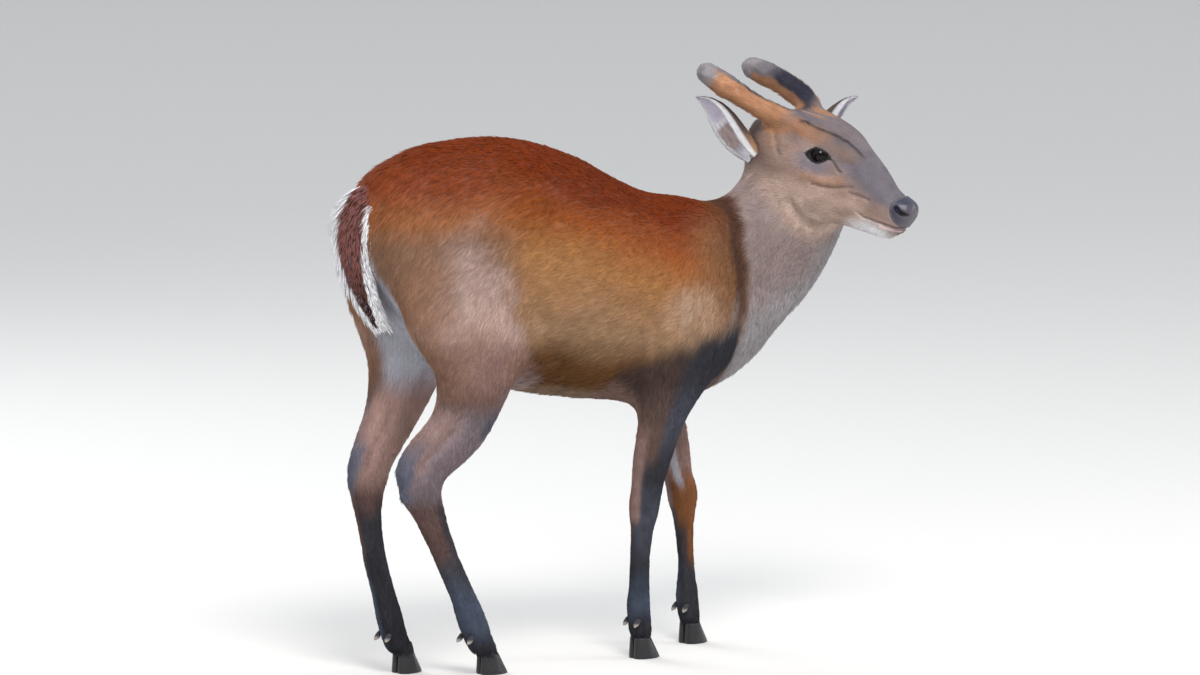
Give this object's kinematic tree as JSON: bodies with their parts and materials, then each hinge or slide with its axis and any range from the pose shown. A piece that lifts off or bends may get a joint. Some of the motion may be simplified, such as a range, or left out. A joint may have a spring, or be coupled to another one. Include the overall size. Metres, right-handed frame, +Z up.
{
  "type": "muntjac",
  "caption": "Life-size still model of a standing adult male muntjac, head turned to its right, antlers in velvet, tail hanging with a pale fringe.",
  "frame": {"origin": "on the floor, below the middle of the bounding box", "axes": "+X the way the body faces, +Y its left side, +Z up"},
  "size_m": [0.721, 0.2604, 0.679],
  "materials": {
    "coat": "short, flat, glossy red-brown hair",
    "leg_coat": "short slate-black hair",
    "tail_fringe": "longer white hair with a maroon centre",
    "velvet": "fine grey-brown velvet",
    "hoof": "dark horn with fine growth lines",
    "eye": "wet, almost black, with a brown iris"
  },
  "bodies": {
    "root": {"torso": "coat", "neck": "coat", "head": "coat", "tail": "tail_fringe", "ear_right": "coat", "eye_right": "eye", "pedicle_right": "coat", "antler_right": "velvet", "ear_left": "coat", "eye_left": "eye", "pedicle_left": "coat", "antler_left": "velvet", "upper_leg_hind_right": "coat", "lower_leg_hind_right": "leg_coat", "hoof_hind_right_outer": "hoof", "dewclaw_hind_right_outer": "hoof", "hoof_hind_right_inner": "hoof", "dewclaw_hind_right_inner": "hoof", "upper_leg_hind_left": "coat", "lower_leg_hind_left": "leg_coat", "hoof_hind_left_outer": "hoof", "dewclaw_hind_left_outer": "hoof", "hoof_hind_left_inner": "hoof", "dewclaw_hind_left_inner": "hoof", "upper_leg_fore_right": "coat", "lower_leg_fore_right": "leg_coat", "hoof_fore_right_outer": "hoof", "dewclaw_fore_right_outer": "hoof", "hoof_fore_right_inner": "hoof", "dewclaw_fore_right_inner": "hoof", "upper_leg_fore_left": "coat", "lower_leg_fore_left": "leg_coat", "hoof_fore_left_outer": "hoof", "dewclaw_fore_left_outer": "hoof", "hoof_fore_left_inner": "hoof", "dewclaw_fore_left_inner": "hoof"}
  },
  "joints": []
}
